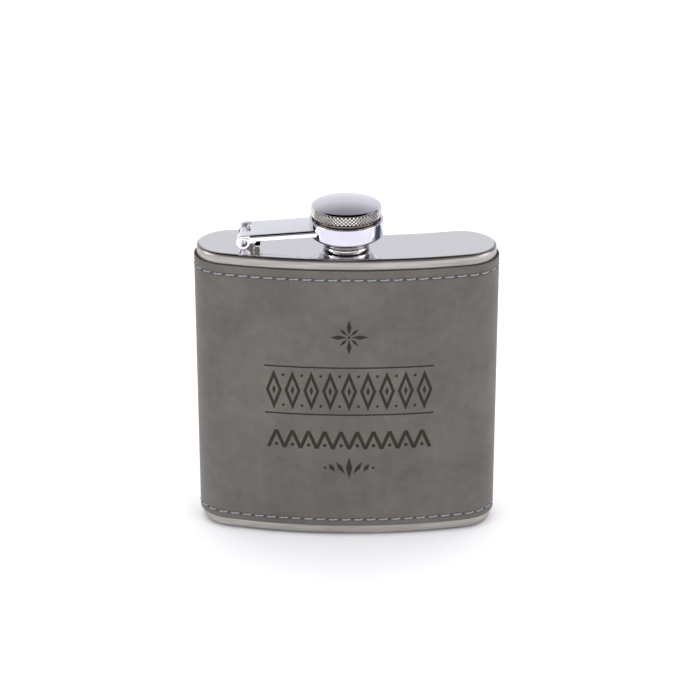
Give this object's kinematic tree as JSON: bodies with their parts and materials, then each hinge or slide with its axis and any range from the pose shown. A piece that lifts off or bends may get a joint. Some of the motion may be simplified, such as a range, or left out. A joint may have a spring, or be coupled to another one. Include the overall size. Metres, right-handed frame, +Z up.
{
  "type": "hip flask",
  "caption": "Kidney-shaped steel hip flask with a stitched grey leatherette wrap, a short threaded neck and a captive knurled screw cap on a hinged arm.",
  "frame": {"origin": "on the neck's axis, on the surface that the flask stands on", "axes": "+Z up along the neck, front (bowed face) towards -Y, hinge towards -X"},
  "size_m": [0.0958, 0.0289, 0.1101],
  "materials": {
    "satin_steel": "satin, brushed along the side band",
    "bright_steel": "polished",
    "chrome_plate": "mirror",
    "insert_brass": "turned, nickel-plated",
    "gasket_rubber": "matte",
    "lining_cloth": "matte",
    "grey_leather": "matte suede-like",
    "stitch_thread": "twisted"
  },
  "bodies": {
    "flask": {"front_shell": "satin_steel", "back_shell": "satin_steel", "top_plate": "bright_steel", "bottom_plate": "satin_steel", "neck": "bright_steel", "hinge_bracket": "chrome_plate", "lower_hinge_pin": "chrome_plate", "wrap_lining": "lining_cloth", "leather_wrap": "grey_leather", "top_edge_stitching": "stitch_thread", "bottom_edge_stitching": "stitch_thread", "rear_seam_stitching": "stitch_thread"},
    "link": {"hinge_link": "chrome_plate"},
    "arm": {"upper_hinge_pin": "chrome_plate", "arm_strap": "chrome_plate", "arm_collar": "chrome_plate"},
    "cap": {"cap_shell": "chrome_plate", "cap_thread_insert": "insert_brass", "cap_gasket": "gasket_rubber", "cap_retaining_ring": "chrome_plate"}
  },
  "joints": [
    {"name": "link_turn", "type": "hinge", "parent": "flask", "child": "link", "pos_m": [-0.0286, 0, 0.0972], "axis": [0, -1, 0], "range_deg": [0, 28]},
    {"name": "arm_swing", "type": "hinge", "parent": "link", "child": "arm", "pos_m": [-0.0315, 0, 0.0983], "axis": [0, -1, 0], "range_deg": [0, 140]},
    {"name": "cap_turn", "type": "hinge", "parent": "arm", "child": "cap", "pos_m": [0, 0, 0.1], "axis": [0, 0, 1], "continuous": true}
  ],
  "couplings": [
    {"joint": "link_turn", "follows": "arm_swing", "ratio": 0.2}
  ]
}
